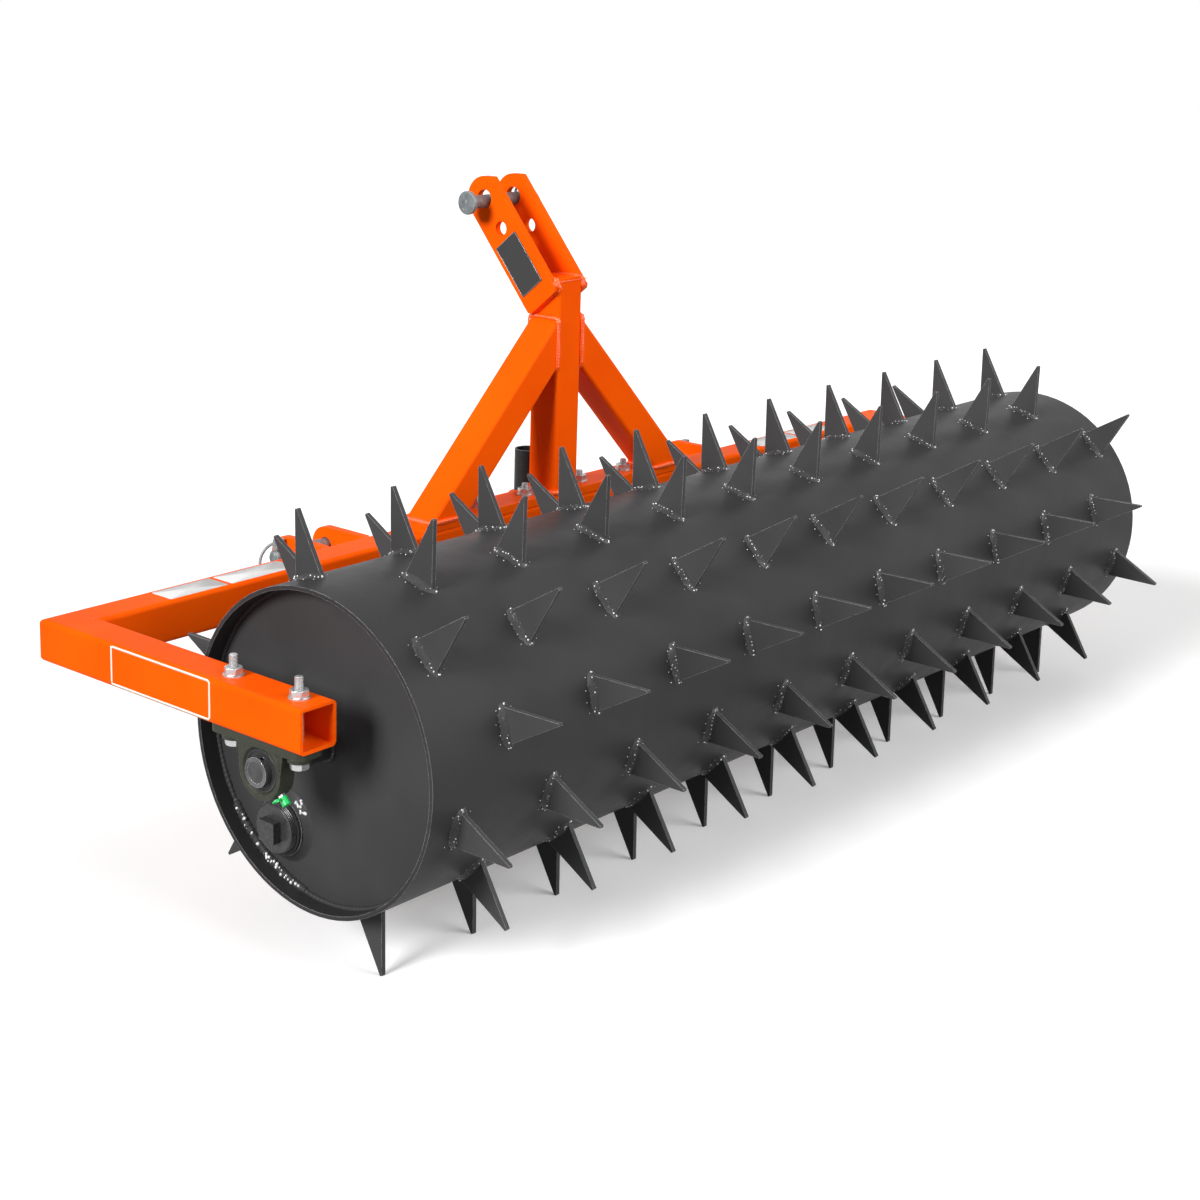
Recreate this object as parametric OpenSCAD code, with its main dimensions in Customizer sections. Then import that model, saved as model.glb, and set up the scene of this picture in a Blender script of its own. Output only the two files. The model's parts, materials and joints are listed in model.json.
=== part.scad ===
// Drum spike aerator for a small tractor's three-point hitch.
// +X runs along the drum to the right-hand side, +Y points forward to the tractor, +Z is up.
// The origin is on the ground, below the middle of the whole machine.

/* [Drum] */
// Outside radius of the drum shell
drum_r = 190; // [150:1:230]
// Length of the drum shell
drum_len = 1595; // [1200:5:1800]
// Wall of the drum shell
drum_wall = 5; // [3:0.5:8]
// Depth from the rim to the end plate
end_recess = 25; // [15:1:50]
// Thickness of each end plate
end_plate_t = 8; // [5:1:12]

/* [Spikes] */
// Height of a spike above the drum
spike_height = 78.17; // [50:0.01:90]
// Width of a spike at its base
spike_base = 43.5; // [30:0.5:60]
// Width of a spike across its blunt tip
spike_tip = 3; // [2:0.5:20]
// Thickness of the spike plate
spike_t = 6; // [4:1:12]
// Spikes in each long row, the short rows have one fewer
spikes_long_row = 11; // [6:1:13]
// Distance from the rim to the first spike
rim_margin = 47.5; // [20:0.5:80]

/* [Ballast plug] */
// Radius over the plug's screw thread
plug_r = 29.8; // [29:0.1:30]
// Length of the plug's threaded body
plug_len = 30; // [26:1:36]
// Length of thread that stands out of the sealing ring
plug_out = 9.5; // [4:0.5:12]
// Pitch of the plug's screw thread
plug_pitch = 2.309; // [2:0.001:3]
// Side of the plug's square head
plug_drive = 25; // [16:1:28]
// Height of the plug's square head
plug_drive_h = 11; // [8:1:14]
// Outside radius of the welded bung
bung_r = 35; // [34.5:0.5:38]
// How far the bung stands out of the end plate
bung_out = 9; // [6:1:12]
// How far the bung reaches in behind the end plate
bung_in = 10; // [4:1:30]
// Thickness of the sealing ring
seal_t = 2.5; // [1:0.5:3]
// Outside radius of the sealing ring
seal_r = 33; // [32:0.5:34]
// Forward offset of the plug from the shaft
plug_y = 64.5; // [55:0.5:90]
// Drop of the plug below the shaft
plug_drop = 109; // [80:0.5:120]

/* [Shaft and bearings] */
// Diameter of the shaft
shaft_d = 25; // [20:0.5:27]
// How far the inner ring stands out past the shaft's end
shaft_inset = 0.5; // [0:0.1:4]
// Drop from the underside of the arm to the shaft centre
bearing_drop = 42; // [38:0.5:60]
// Distance between the two bolts of a bearing housing
bearing_bolts_apart = 105; // [100:1:120]
// Outside radius of the inner ring
inner_ring_r = 17; // [16:0.25:17.5]
// Inner ring, from the ball track outwards
inner_ring_out = 16; // [15:0.1:24]
// Inner ring, from the ball track inwards
inner_ring_in = 14.3; // [9:0.1:18]
// Spherical outside radius of the outer ring
outer_ring_r = 26; // [25.5:0.25:28]
// Width of the outer ring
outer_ring_w = 17; // [14:0.5:20]
// Bore radius of the outer ring's shoulders
outer_shoulder_r = 22; // [21:0.25:22.5]
// Radius of the circle through the ball centres
ball_circle_r = 19.5; // [19.25:0.05:19.75]
// Diameter of a ball
ball_d = 7.94; // [7:0.02:8]
// Balls in each bearing
ball_count = 9; // [6:1:10]
// Thickness of a bearing seal
seal_plate_t = 1; // [0.5:0.1:1.5]
// Diameter of a set screw
set_screw_d = 6; // [4:0.5:7]

/* [Bearing housings] */
// Outside radius of the housing's round boss
boss_r = 33; // [32:0.5:38]
// Width of the boss along the shaft
boss_w = 21; // [20.5:0.5:34]
// Length of the housing's foot
foot_len = 146; // [136:1:180]
// Width of the housing's foot
foot_w = 38; // [30:1:48]
// Thickness of the foot at its ends
foot_t = 11; // [8:1:16]
// Thickness of the foot under the bolt heads
foot_pad_t = 19; // [17:1:22]
// Width of the bolt slots
slot_w = 13; // [11:0.5:15]
// Length of the bolt slots
slot_len = 18; // [14:1:24]
// Wall of the webs between boss and foot
web_w = 20; // [12:1:26]

/* [Grease fittings] */
// Angle of the fitting from straight down, towards the rear
nipple_angle = 45; // [30:1:60]
// Diameter of the fitting's stem
nipple_d = 6; // [5:0.5:8]
// Outside diameter of the push-on cap
cap_d = 10; // [9:0.5:12]
// Length of the push-on cap
cap_len = 10; // [9:0.5:16]

/* [Frame] */
// Side of the square tube
tube = 52; // [50:1:60]
// Wall of the square tube
tube_wall = 4; // [2:0.5:6]
// Outside corner radius of the square tube
tube_corner = 6; // [5:0.5:10]
// Gap between the drum's rim and the inside of an arm
side_gap = 36.5; // [34:0.5:80]
// Reach of the arms behind the shaft
arm_rear = 82; // [80:1:120]
// Distance from the shaft forward to the front face of the front bar
bar_front = 367; // [350:1:450]

/* [Hitch mast] */
// Half the length of the mast's base plate
base_half = 290; // [286:1:340]
// Thickness of the base plate
base_t = 12; // [8:1:20]
// Height of the post above the base plate
post_h = 312; // [290:1:400]
// Thickness of the cap on the post
post_cap_t = 4; // [2:0.5:8]
// Half the spread of the braces where they stand on the base plate
brace_foot = 281; // [240:1:284]
// Angle of the braces from the ground
brace_angle = 45; // [42:1:46]
// Distance from the centre to the inner pair of mast bolts
mast_bolt_in = 60; // [44:1:80]
// Distance from the centre to the outer pair of mast bolts
mast_bolt_out = 163; // [120:1:176]

/* [Top link clevis] */
// Width of a clevis plate
clevis_w = 65; // [56:1:84]
// Thickness of a clevis plate
clevis_t = 10; // [6:1:14]
// Forward lean of the clevis plates
clevis_lean = 40; // [34:1:44]
// Length from the foot of the clevis to its upper hole
clevis_reach = 180; // [160:1:220]
// Distance between the upper and the lower hole
hole_step = 52; // [40:1:70]
// Diameter of the upper hole
upper_hole_d = 26.5; // [24:0.25:30]
// Diameter of the lower hole
lower_hole_d = 20.5; // [19:0.25:23]
// Length of the blank data plate
data_len = 84; // [40:1:88]
// Width of the blank data plate
data_w = 46; // [20:1:52]
// Thickness of the blank data plate
data_t = 1; // [0.5:0.1:2]

/* [Hitch pins] */
// Diameter of the top link pin
top_pin_d = 19; // [16:0.25:22]
// Bare length of the top pin between its head and the clevis
top_pin_spare = 31.5; // [10:0.5:40]
// Diameter of the top pin's head
top_head_d = 34; // [28:1:40]
// Thickness of the pin heads
pin_head_t = 6.5; // [4:0.5:10]
// Diameter of the lower link pins
low_pin_d = 22; // [18:0.25:24]
// Diameter of the lower pins' heads
low_head_d = 32; // [28:1:40]
// Clearance of a lower pin in its lug holes, on the diameter
low_pin_clear = 1; // [0.4:0.1:2]
// Length of a pin past the middle of its lynch pin
pin_nose = 9; // [8:0.5:14]
// Gap from a lug or clevis plate to the middle of its lynch pin
lynch_gap = 11; // [10:0.5:16]
// Diameter of a lynch peg
peg_d = 9; // [7:0.5:11]
// Mean radius of a lynch ring
ring_r = 22; // [19:0.5:26]
// Diameter of the lynch ring's wire
ring_wire = 4; // [3:0.25:4.5]
// Angle that a lynch ring stands open at rest
ring_open = 30; // [20:1:45]

/* [Lower link lugs] */
// Distance from the centre to the outer face of an outer lug
lug_outer = 435; // [400:1:500]
// Thickness of a lug
lug_t = 12; // [8:1:16]
// Gap between the two lugs of a pair
lug_gap = 63; // [50:1:80]
// Distance from the front bar to the lug's hole
lug_reach = 73; // [60:1:100]

/* [Parking stand] */
// Outside diameter of the stand's leg
leg_d = 38; // [32:0.5:42]
// Wall of the leg
leg_wall = 3; // [2:0.5:5]
// Height of the leg's top above the arms
leg_top = 62.5; // [20:0.5:100]
// Radial clearance of the leg in its sleeve
leg_clear = 1; // [0.2:0.1:1]
// Wall of the sleeve
sleeve_wall = 6.5; // [3:0.5:8]
// Depth of the sleeve's top edge below the top of the front bar
sleeve_drop = 4; // [0:1:20]
// Length of the sleeve below the front bar
sleeve_below = 60; // [40:1:80]
// Side of the square ground plate
shoe = 90; // [60:1:110]
// Thickness of the ground plate
shoe_t = 6; // [4:1:12]
// Diameter of the clamp screw
clamp_d = 12; // [8:0.5:16]
// Length of the clamp screw's bar
clamp_bar = 70; // [40:1:90]

/* [Fasteners] */
// Diameter of the bolts
bolt_d = 10; // [8:0.5:10.5]
// Size across the flats of bolt heads and nuts
bolt_af = 19; // [15:0.5:19]
// Thickness of a bolt head
bolt_head_t = 8; // [5:0.5:8]
// Thickness of a nut
nut_t = 8; // [6:0.5:10]
// Outside diameter of a flat washer
washer_d = 24; // [20:0.5:26]
// Thickness of a flat washer
washer_t = 2; // [1:0.25:3]
// Bolt end standing out of its nut
bolt_proud = 14.5; // [4:0.5:16]

/* [Hidden] */
$fn = 96;

frame_orange = [1.0, 0.38, 0.05];
drum_grey = [0.27, 0.27, 0.28];
cast_olive = [0.30, 0.31, 0.24];
zinc = [0.78, 0.78, 0.78];
dull_steel = [0.5, 0.5, 0.5];
near_black = [0.08, 0.08, 0.08];

// Running clearances and small allowances
run_gap = 0.05;
seat_gap = 0.3;
bore_edge = 2.5;
clevis_cut = 4;
hole_slack = 0.5;
thread_deep = 1.2;
thread_half = 0.8;
through = 1;

// The twelve rows stand every 30 degrees, and the drum rests on the two lowest ones
row_count = 12;
row_step = 360 / row_count;
first_row = -row_step / 2;
tip_r = drum_r + spike_height;
axle_h = tip_r * cos(row_step / 2) + spike_tip / 2 * sin(row_step / 2);
spike_pitch = (drum_len - 2 * rim_margin) / (spikes_long_row - 1);

// Heights and distances below are measured from the shaft centre
arm_low = bearing_drop;
arm_high = arm_low + tube;
frame_half = drum_len / 2 + side_gap + tube;
bearing_x = frame_half - tube / 2;
shaft_half = bearing_x + inner_ring_out - shaft_inset;
bar_mid = bar_front - tube / 2;
base_high = arm_high + base_t;
post_high = base_high + post_h;

// The clevis stands with its rear lower corner just behind the rear edge of the post
clevis_heel = 3;
clevis_sink = 14.5;
clevis_foot_y = bar_front - tube - clevis_heel + clevis_w / 2 * cos(clevis_lean);
clevis_foot_z = post_high - clevis_sink - clevis_w / 2 * sin(clevis_lean);
clevis_x = tube / 2;
data_gap = 7.5;
data_side = 3;
upper_hole_y = clevis_foot_y + clevis_reach * sin(clevis_lean);
upper_hole_z = clevis_foot_z + clevis_reach * cos(clevis_lean);
top_pin_z = upper_hole_z - (upper_hole_d - top_pin_d) / 2 + run_gap;
top_pin_start = -clevis_x - clevis_t - top_pin_spare;
top_lynch_x = clevis_x + clevis_t + lynch_gap;

lug_r = tube / 2;
lug_hole_y = bar_front + lug_reach;
lug_hole_z = arm_low + tube / 2;
lug_hole_d = low_pin_d + low_pin_clear;
low_pin_z = lug_hole_z - low_pin_clear / 2 + run_gap;
lug_inner = lug_outer - 2 * lug_t - lug_gap;
low_lynch_x = lug_outer + lynch_gap;
low_pin_end = low_lynch_x + pin_nose;

// The lynch ring hangs through the middle of the peg's head
peg_head_r = 8;
peg_head_w = 9;
peg_head_h = 14;
peg_pivot = 8;
peg_tail = 6;

sleeve_r = leg_d / 2 + leg_clear + sleeve_wall;
sleeve_flat = 2.5;
stand_y = bar_front + sleeve_r - sleeve_flat;
sleeve_low = arm_low - sleeve_below;
clamp_z = arm_low - sleeve_below / 2 - 5;
clamp_nut_af = clamp_d * 1.5;
clamp_nut_t = clamp_d * 0.85;
clamp_head_t = 16;
clamp_start = stand_y + leg_d / 2 + seat_gap;
clamp_head_y = stand_y + sleeve_r + clamp_nut_t + 16;

nipple_stem_in = boss_r - 5;
nipple_hex_t = 3;
nipple_tip = boss_r + nipple_hex_t + 7;
cap_start = boss_r + nipple_hex_t + seat_gap;
cap_bore_d = nipple_d + 2 * run_gap;
cap_strap_wire = 1.6;
cap_strap_r = 5;

bearing_nut_z = arm_high + washer_t;
mast_nut_z = base_high + washer_t;

// The whole machine is set so that its box is centred over the origin
rear_reach = tip_r * sin(5 * row_step / 2) + spike_tip / 2 * cos(5 * row_step / 2);
front_reach = upper_hole_y + clevis_w / 2;
drum_y = (rear_reach - front_reach) / 2;

module from_axle() translate([0, drum_y, axle_h]) children();
module flip(left) mirror([left ? 1 : 0, 0, 0]) children();
module along_x(x) translate([x, 0, 0]) rotate([0, 90, 0]) children();

// Square with round corners
module round_square(side, corner) {
    square([side, side - 2 * corner], center = true);
    square([side - 2 * corner, side], center = true);
    for (sx = [-1, 1], sy = [-1, 1])
        translate([sx * (side / 2 - corner), sy * (side / 2 - corner)]) circle(r = corner, $fn = 48);
}

// Rectangle with round corners
module round_rect(len, wide, corner) {
    square([len, wide - 2 * corner], center = true);
    square([len - 2 * corner, wide], center = true);
    for (sx = [-1, 1], sy = [-1, 1])
        translate([sx * (len / 2 - corner), sy * (wide / 2 - corner)]) circle(r = corner, $fn = 48);
}

// Straight length of square tube along Z
module square_tube(len) {
    linear_extrude(len) difference() {
        round_square(tube, tube_corner);
        round_square(tube - 2 * tube_wall, max(tube_corner - tube_wall, 1));
    }
}

module ring_solid(outer, inner, wide) {
    difference() {
        cylinder(r = outer, h = wide);
        translate([0, 0, -through]) cylinder(r = inner, h = wide + 2 * through);
    }
}

// Drum

module drum_shell() {
    color(drum_grey) from_axle() along_x(-drum_len / 2)
        ring_solid(drum_r, drum_r - drum_wall, drum_len, $fn = 180);
}

module end_plate(left) {
    plate_x = drum_len / 2 - end_recess - end_plate_t;
    color(drum_grey) from_axle() flip(left) difference() {
        along_x(plate_x) ring_solid(drum_r - drum_wall, shaft_d / 2, end_plate_t, $fn = 180);
        if (left)
            translate([0, plug_y, -plug_drop]) along_x(plate_x - through)
                cylinder(r = bung_r, h = end_plate_t + 2 * through);
    }
}

module shaft() {
    color(dull_steel) from_axle() along_x(-shaft_half) cylinder(d = shaft_d, h = 2 * shaft_half);
}

// One spike, standing along +Z on the drum
module spike() {
    root = drum_r - drum_wall;
    base_z = sqrt(pow(drum_r, 2) - pow(spike_base / 2, 2));
    flank = (spike_base - spike_tip) / 2 / (tip_r - base_z);
    root_half = spike_base / 2 + flank * (base_z - root);
    rotate([90, 0, 90]) translate([0, 0, -spike_t / 2]) linear_extrude(spike_t) difference() {
        polygon([[-root_half, root], [root_half, root], [spike_tip / 2, tip_r], [-spike_tip / 2, tip_r]]);
        circle(r = drum_r, $fn = 180);
    }
}

// Long rows have even numbers counted from 0, and the short rows stand half a pitch in
module spike_row(index) {
    spikes = index % 2 == 0 ? spikes_long_row : spikes_long_row - 1;
    rotate([first_row + index * row_step, 0, 0])
        for (i = [0 : spikes - 1])
            translate([(i - (spikes - 1) / 2) * spike_pitch, 0, 0]) spike();
}

module spike_pair(index) {
    color(drum_grey) from_axle() {
        spike_row(index);
        spike_row(index + 1);
    }
}

// Ballast plug in the left end plate

module at_plug() {
    from_axle() flip(true) translate([drum_len / 2 - end_recess, plug_y, -plug_drop]) children();
}

module fill_bung() {
    color(drum_grey) at_plug() along_x(-end_plate_t - bung_in)
        ring_solid(bung_r, plug_r + run_gap, bung_in + end_plate_t + bung_out);
}

module seal_washer() {
    color(near_black) at_plug() along_x(bung_out) ring_solid(seal_r, plug_r + run_gap, seal_t);
}

// Square-head pipe plug, with the thread that shows cut as rings

module fill_plug() {
    face = bung_out + seal_t + plug_out;
    edge = 1.5;
    turns = floor((plug_out - edge) / plug_pitch);
    color(near_black) at_plug() {
        difference() {
            rotate([90, 0, 90]) rotate_extrude() polygon([
                [0, face - plug_len], [plug_r - edge, face - plug_len], [plug_r, face - plug_len + edge],
                [plug_r, face - edge], [plug_r - edge, face], [0, face]
            ]);
            rotate([90, 0, 90]) for (i = [1 : turns]) rotate_extrude() polygon([
                [plug_r - thread_deep, face - edge - (i - 0.5) * plug_pitch],
                [plug_r + thread_deep, face - edge - (i - 0.5) * plug_pitch - 2 * thread_half],
                [plug_r + thread_deep, face - edge - (i - 0.5) * plug_pitch + 2 * thread_half]
            ]);
        }
        translate([face - through, -plug_drive / 2, -plug_drive / 2])
            cube([plug_drive_h + through, plug_drive, plug_drive]);
    }
}

// Bearings, drawn for the right-hand end

module at_bearing(left) {
    from_axle() flip(left) translate([bearing_x, 0, 0]) children();
}

module ball_track() {
    translate([ball_circle_r, 0]) circle(r = ball_d / 2 + run_gap, $fn = 48);
}

module bearing_inner(left) {
    color(dull_steel) at_bearing(left) difference() {
        rotate([90, 0, 90]) rotate_extrude() difference() {
            translate([shaft_d / 2, -inner_ring_in])
                square([inner_ring_r - shaft_d / 2, inner_ring_in + inner_ring_out]);
            ball_track();
        }
        set_screw_places() cylinder(d = set_screw_d, h = inner_ring_r + through, $fn = 32);
    }
}

module set_screw_places() {
    for (turn = [20, 140])
        translate([inner_ring_out - 5, 0, 0]) rotate([turn, 0, 0]) children();
}

module set_screws() {
    start = shaft_d / 2 + 2 * run_gap;
    color(near_black) for (left = [true, false]) at_bearing(left) set_screw_places() difference() {
        translate([0, 0, start]) cylinder(d = set_screw_d, h = inner_ring_r - start - 0.2, $fn = 32);
        translate([0, 0, inner_ring_r - 2]) cylinder(d = set_screw_d * 0.55, h = 3, $fn = 6);
    }
}

module bearing_outer(left) {
    color(dull_steel) at_bearing(left) rotate([90, 0, 90]) rotate_extrude() difference() {
        intersection() {
            circle(r = outer_ring_r, $fn = 96);
            translate([outer_shoulder_r, -outer_ring_w / 2]) square([outer_ring_r, outer_ring_w]);
        }
        ball_track();
    }
}

module bearing_balls(left) {
    cage_w = 10;
    cage_t = 1.2;
    color(zinc) at_bearing(left) {
        for (i = [0 : ball_count - 1])
            rotate([i * 360 / ball_count, 0, 0]) translate([0, 0, ball_circle_r]) sphere(d = ball_d, $fn = 48);
        difference() {
            along_x(-cage_w / 2) ring_solid(ball_circle_r + cage_t / 2, ball_circle_r - cage_t / 2, cage_w);
            for (i = [0 : ball_count - 1])
                rotate([i * 360 / ball_count, 0, 0]) translate([0, 0, ball_circle_r])
                    sphere(r = ball_d / 2 + 2 * run_gap, $fn = 48);
        }
    }
}

module bearing_seals() {
    color(near_black) for (left = [true, false], face = [-1, 1])
        at_bearing(left) along_x(face * (outer_ring_w / 2 - 1.5) - seal_plate_t / 2)
            ring_solid(outer_shoulder_r, inner_ring_r + 2 * run_gap, seal_plate_t);
}

// Outline of the housing across the shaft, with the boss hanging below the foot
module housing_outline() {
    foot_ramp = foot_len / 5;
    foot_under = arm_low - foot_t;
    circle(r = boss_r);
    polygon([
        [-boss_r, 0], [boss_r, 0], [boss_r + 4, foot_under - 4], [foot_len / 2 - foot_ramp, foot_under],
        [foot_len / 2 - foot_ramp, arm_low - 2], [-foot_len / 2 + foot_ramp, arm_low - 2],
        [-foot_len / 2 + foot_ramp, foot_under],
        [-boss_r - 4, foot_under - 4]
    ]);
}

module housing(left) {
    seat_bore = outer_ring_r - 1;
    color(cast_olive) at_bearing(left) difference() {
        union() {
            rotate([90, 0, 90]) translate([0, 0, -web_w / 2]) linear_extrude(web_w) housing_outline();
            along_x(-boss_w / 2) cylinder(r = boss_r, h = boss_w);
            translate([0, 0, arm_low - foot_t]) rotate([0, 0, 90])
                linear_extrude(foot_t) round_rect(foot_len, foot_w, 10);
            for (side = [-1, 1]) translate([0, side * bearing_bolts_apart / 2, arm_low - foot_pad_t])
                cylinder(r = 13, h = foot_pad_t - 1);
        }
        rotate([90, 0, 90]) rotate_extrude() {
            intersection() {
                circle(r = outer_ring_r + run_gap);
                translate([0, -boss_w]) square(2 * boss_w);
            }
            translate([0, -boss_w]) square([seat_bore, 2 * boss_w]);
            for (face = [-1, 1]) polygon([
                [0, face * (boss_w / 2 - bore_edge)], [seat_bore, face * (boss_w / 2 - bore_edge)],
                [seat_bore + bore_edge + 1, face * (boss_w / 2 + 1)], [0, face * (boss_w / 2 + 1)]
            ]);
        }
        for (side = [-1, 1])
            translate([0, side * bearing_bolts_apart / 2, arm_low - foot_pad_t - through])
                linear_extrude(foot_pad_t + 2 * through) rotate([0, 0, 90]) slot_shape();
        rotate([180 - nipple_angle, 0, 0]) cylinder(d = nipple_d, h = boss_r + 3, $fn = 32);
    }
}

module slot_shape() {
    square([slot_len - slot_w, slot_w], center = true);
    for (end = [-1, 1]) translate([end * (slot_len - slot_w) / 2, 0]) circle(d = slot_w, $fn = 48);
}

// Grease fittings point down and to the rear

module at_nipple(left) at_bearing(left) rotate([180 - nipple_angle, 0, 0]) children();

module grease_nipples() {
    color(zinc) for (left = [true, false]) at_nipple(left) {
        translate([0, 0, nipple_stem_in]) cylinder(d = nipple_d, h = boss_r - nipple_stem_in, $fn = 32);
        translate([0, 0, boss_r]) cylinder(d = nipple_d + 3, h = nipple_hex_t, $fn = 6);
        translate([0, 0, boss_r + nipple_hex_t]) rotate_extrude($fn = 32) polygon([
            [0, 0], [nipple_d / 2 - 0.2, 0], [nipple_d / 2 - 0.2, 2], [nipple_d / 2 - 1, 3],
            [nipple_d / 2 - 0.4, 5], [nipple_d / 2 - 1.2, 7], [0, 7]
        ]);
    }
}

module grease_cap(left) {
    color([0.12, 0.78, 0.38]) at_nipple(left) {
        difference() {
            translate([0, 0, cap_start]) cylinder(d = cap_d, h = cap_len, $fn = 48);
            translate([0, 0, cap_start - through])
                cylinder(d = cap_bore_d, h = nipple_tip - cap_start + through + seat_gap, $fn = 48);
        }
        translate([cap_d / 2 + cap_strap_r - 0.4, 0, cap_start + 1]) difference() {
            cylinder(r = cap_strap_r, h = cap_strap_wire, $fn = 48);
            translate([0, 0, -through])
                cylinder(r = cap_strap_r - cap_strap_wire, h = cap_strap_wire + 2 * through, $fn = 48);
        }
    }
}

// Frame

module plan_prism(points) {
    translate([0, 0, arm_low - through]) linear_extrude(tube + 2 * through) polygon(points);
}

module front_bar() {
    color(frame_orange) from_axle() difference() {
        intersection() {
            translate([0, bar_mid, arm_low + tube / 2]) along_x(-frame_half - through)
                square_tube(2 * (frame_half + through));
            plan_prism([
                [-frame_half, bar_front], [frame_half, bar_front],
                [frame_half - tube, bar_front - tube], [-frame_half + tube, bar_front - tube]
            ]);
        }
        mast_bolt_places() translate([0, 0, arm_low - through])
            cylinder(d = bolt_d + 2 * hole_slack, h = tube + 2 * through, $fn = 48);
    }
}

module side_arm(left) {
    color(frame_orange) from_axle() flip(left) difference() {
        intersection() {
            translate([bearing_x, -arm_rear, arm_low + tube / 2]) rotate([-90, 0, 0])
                square_tube(arm_rear + bar_front + through);
            plan_prism([
                [frame_half, bar_front], [frame_half - tube, bar_front - tube],
                [frame_half - tube, -arm_rear - through], [frame_half, -arm_rear - through]
            ]);
        }
        bearing_bolt_places() translate([0, 0, arm_low - through])
            cylinder(d = bolt_d + 2 * hole_slack, h = tube + 2 * through, $fn = 48);
    }
}

module bearing_bolt_places() {
    for (side = [-1, 1]) translate([bearing_x, side * bearing_bolts_apart / 2, 0]) children();
}

module mast_bolt_places() {
    for (x = [-mast_bolt_out, -mast_bolt_in, mast_bolt_in, mast_bolt_out]) translate([x, bar_mid, 0]) children();
}

// Lower link lugs

module lug(left, outer) {
    face = outer ? lug_outer - lug_t : lug_inner;
    color(frame_orange) from_axle() flip(left) difference() {
        translate([face, 0, 0]) rotate([90, 0, 90]) linear_extrude(lug_t) {
            translate([bar_front, arm_low]) square([lug_reach, tube]);
            translate([lug_hole_y, lug_hole_z]) circle(r = lug_r);
        }
        translate([0, lug_hole_y, lug_hole_z]) along_x(face - through)
            cylinder(d = lug_hole_d, h = lug_t + 2 * through);
    }
}

// Hitch mast

module base_plate() {
    color(frame_orange) from_axle() difference() {
        translate([-base_half, bar_front - tube, arm_high]) cube([2 * base_half, tube, base_t]);
        mast_bolt_places() translate([0, 0, arm_high - through])
            cylinder(d = bolt_d + 2 * hole_slack, h = base_t + 2 * through, $fn = 48);
    }
}

module mast_post() {
    color(frame_orange) from_axle() translate([0, bar_mid, base_high]) square_tube(post_h - post_cap_t);
}

module post_cap() {
    color(frame_orange) from_axle() translate([0, bar_mid, post_high - post_cap_t])
        linear_extrude(post_cap_t) round_square(tube, tube_corner);
}

module brace(left) {
    slope = tan(brace_angle);
    cut = tube / sin(brace_angle);
    far = tube / 2 + cut;
    color(frame_orange) from_axle() flip(left) translate([0, bar_mid, 0]) intersection() {
        translate([brace_foot - cut / 2, 0, base_high]) rotate([0, brace_angle - 90, 0])
            translate([0, 0, -far]) square_tube(far + brace_foot / cos(brace_angle));
        rotate([90, 0, 0]) translate([0, 0, -tube / 2 - through]) linear_extrude(tube + 2 * through) polygon([
            [brace_foot + through, base_high], [tube / 2, base_high],
            [tube / 2, base_high + slope * brace_foot]
        ]);
    }
}

// Flat shape of a clevis plate: foot at the origin, holes along +Y, front edge at +X.
// The top edge is level, and runs from the round front to the rear corner
module clevis_shape() {
    half = clevis_w / 2;
    edge_turn = 90 - clevis_lean;
    polygon([
        [-half, clevis_cut], [clevis_cut - half, 0], [half - clevis_cut, 0], [half, clevis_cut],
        [half, clevis_reach], [0, clevis_reach],
        [-half * cos(edge_turn), clevis_reach + half * sin(edge_turn)],
        [-half, clevis_reach + half * tan(edge_turn / 2)]
    ]);
    translate([0, clevis_reach]) circle(r = half);
}

module in_clevis_plane(x) {
    translate([x, clevis_foot_y, clevis_foot_z]) rotate([90, 0, 90]) rotate([0, 0, -clevis_lean]) children();
}

module clevis_plate(left) {
    start = left ? -clevis_x - clevis_t : clevis_x;
    color(frame_orange) from_axle() difference() {
        in_clevis_plane(start) linear_extrude(clevis_t) clevis_shape();
        in_clevis_plane(start - through) {
            translate([0, clevis_reach, 0]) cylinder(d = upper_hole_d, h = clevis_t + 2 * through);
            translate([0, clevis_reach - hole_step, 0]) cylinder(d = lower_hole_d, h = clevis_t + 2 * through);
        }
    }
}

module data_plate() {
    color([0.3, 0.3, 0.3]) from_axle() in_clevis_plane(-clevis_x - clevis_t - data_t)
        translate([data_side, clevis_reach - hole_step - lower_hole_d / 2 - data_gap - data_len / 2, 0])
            linear_extrude(data_t) round_rect(data_w, data_len, 1.5);
}

// Hitch pins, with the head at the start and the lynch hole near the end, drawn along +X

module hitch_pin(len, pin_d, head_d) {
    edge = 1.2;
    difference() {
        rotate([90, 0, 90]) rotate_extrude() polygon([
            [0, -pin_head_t], [head_d / 2 - edge, -pin_head_t], [head_d / 2, -pin_head_t + edge],
            [head_d / 2, -edge], [head_d / 2 - edge, 0], [pin_d / 2, 0], [pin_d / 2, len - 2 * edge],
            [pin_d / 2 - 2 * edge, len], [0, len]
        ]);
        translate([len - pin_nose, 0, -pin_d]) cylinder(d = peg_d + 2 * hole_slack, h = 2 * pin_d, $fn = 48);
    }
}

module top_link_pin() {
    color(dull_steel) from_axle() translate([top_pin_start, upper_hole_y, top_pin_z])
        hitch_pin(top_lynch_x + pin_nose - top_pin_start, top_pin_d, top_head_d);
}

module lower_pin(left) {
    start = lug_inner - seat_gap;
    color(dull_steel) from_axle() flip(left) translate([start, lug_hole_y, low_pin_z])
        hitch_pin(low_pin_end - start, low_pin_d, low_head_d);
}

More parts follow.
